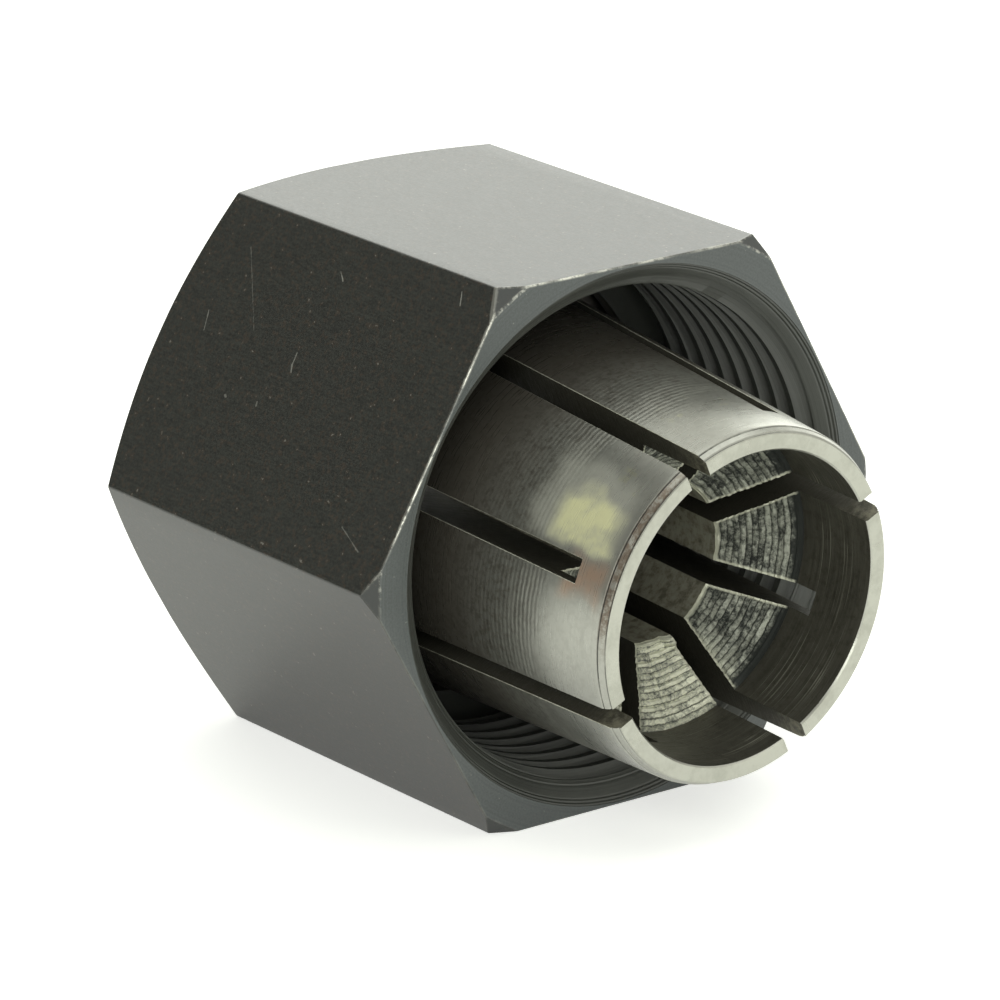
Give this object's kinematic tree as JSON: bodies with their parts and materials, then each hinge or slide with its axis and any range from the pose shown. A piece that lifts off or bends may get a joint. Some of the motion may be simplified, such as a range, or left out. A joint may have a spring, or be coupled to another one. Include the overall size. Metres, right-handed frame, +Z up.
{
  "type": "router collet",
  "caption": "Split spring collet with a tapered outside, held captive but loose by a snap ring inside a blackened hexagonal clamping nut with an internal thread.",
  "frame": {"origin": "the middle of the flat that the nut lies on, halfway between the nut's two ends", "axes": "+Z up, from the flat that the nut lies on to the opposite one; +X along the nut's axis towards its threaded mouth; +Y to the left of +X seen from above"},
  "size_m": [0.0308, 0.0312, 0.027],
  "materials": {
    "blackened_steel": "satin black oxide over machined steel, worn to bare steel along its edges",
    "bare_steel": "ground taper and turned bore with fine feed lines, lightly tarnished",
    "spring_steel": "dull oiled spring steel"
  },
  "bodies": {
    "nut": {"collet_nut": "blackened_steel"},
    "ring": {"retaining_ring": "spring_steel"},
    "collet": {"collet": "bare_steel"}
  },
  "joints": [
    {"name": "ring_float", "type": "slide", "parent": "nut", "child": "ring", "axis": [1, 0, 0], "range_m": [-0.0005, 0.0005]},
    {"name": "collet_spin", "type": "hinge", "parent": "ring", "child": "collet", "pos_m": [-0.00299, 0, 0.0135], "axis": [0.9979, 0.0174, -0.0628], "continuous": true}
  ]
}
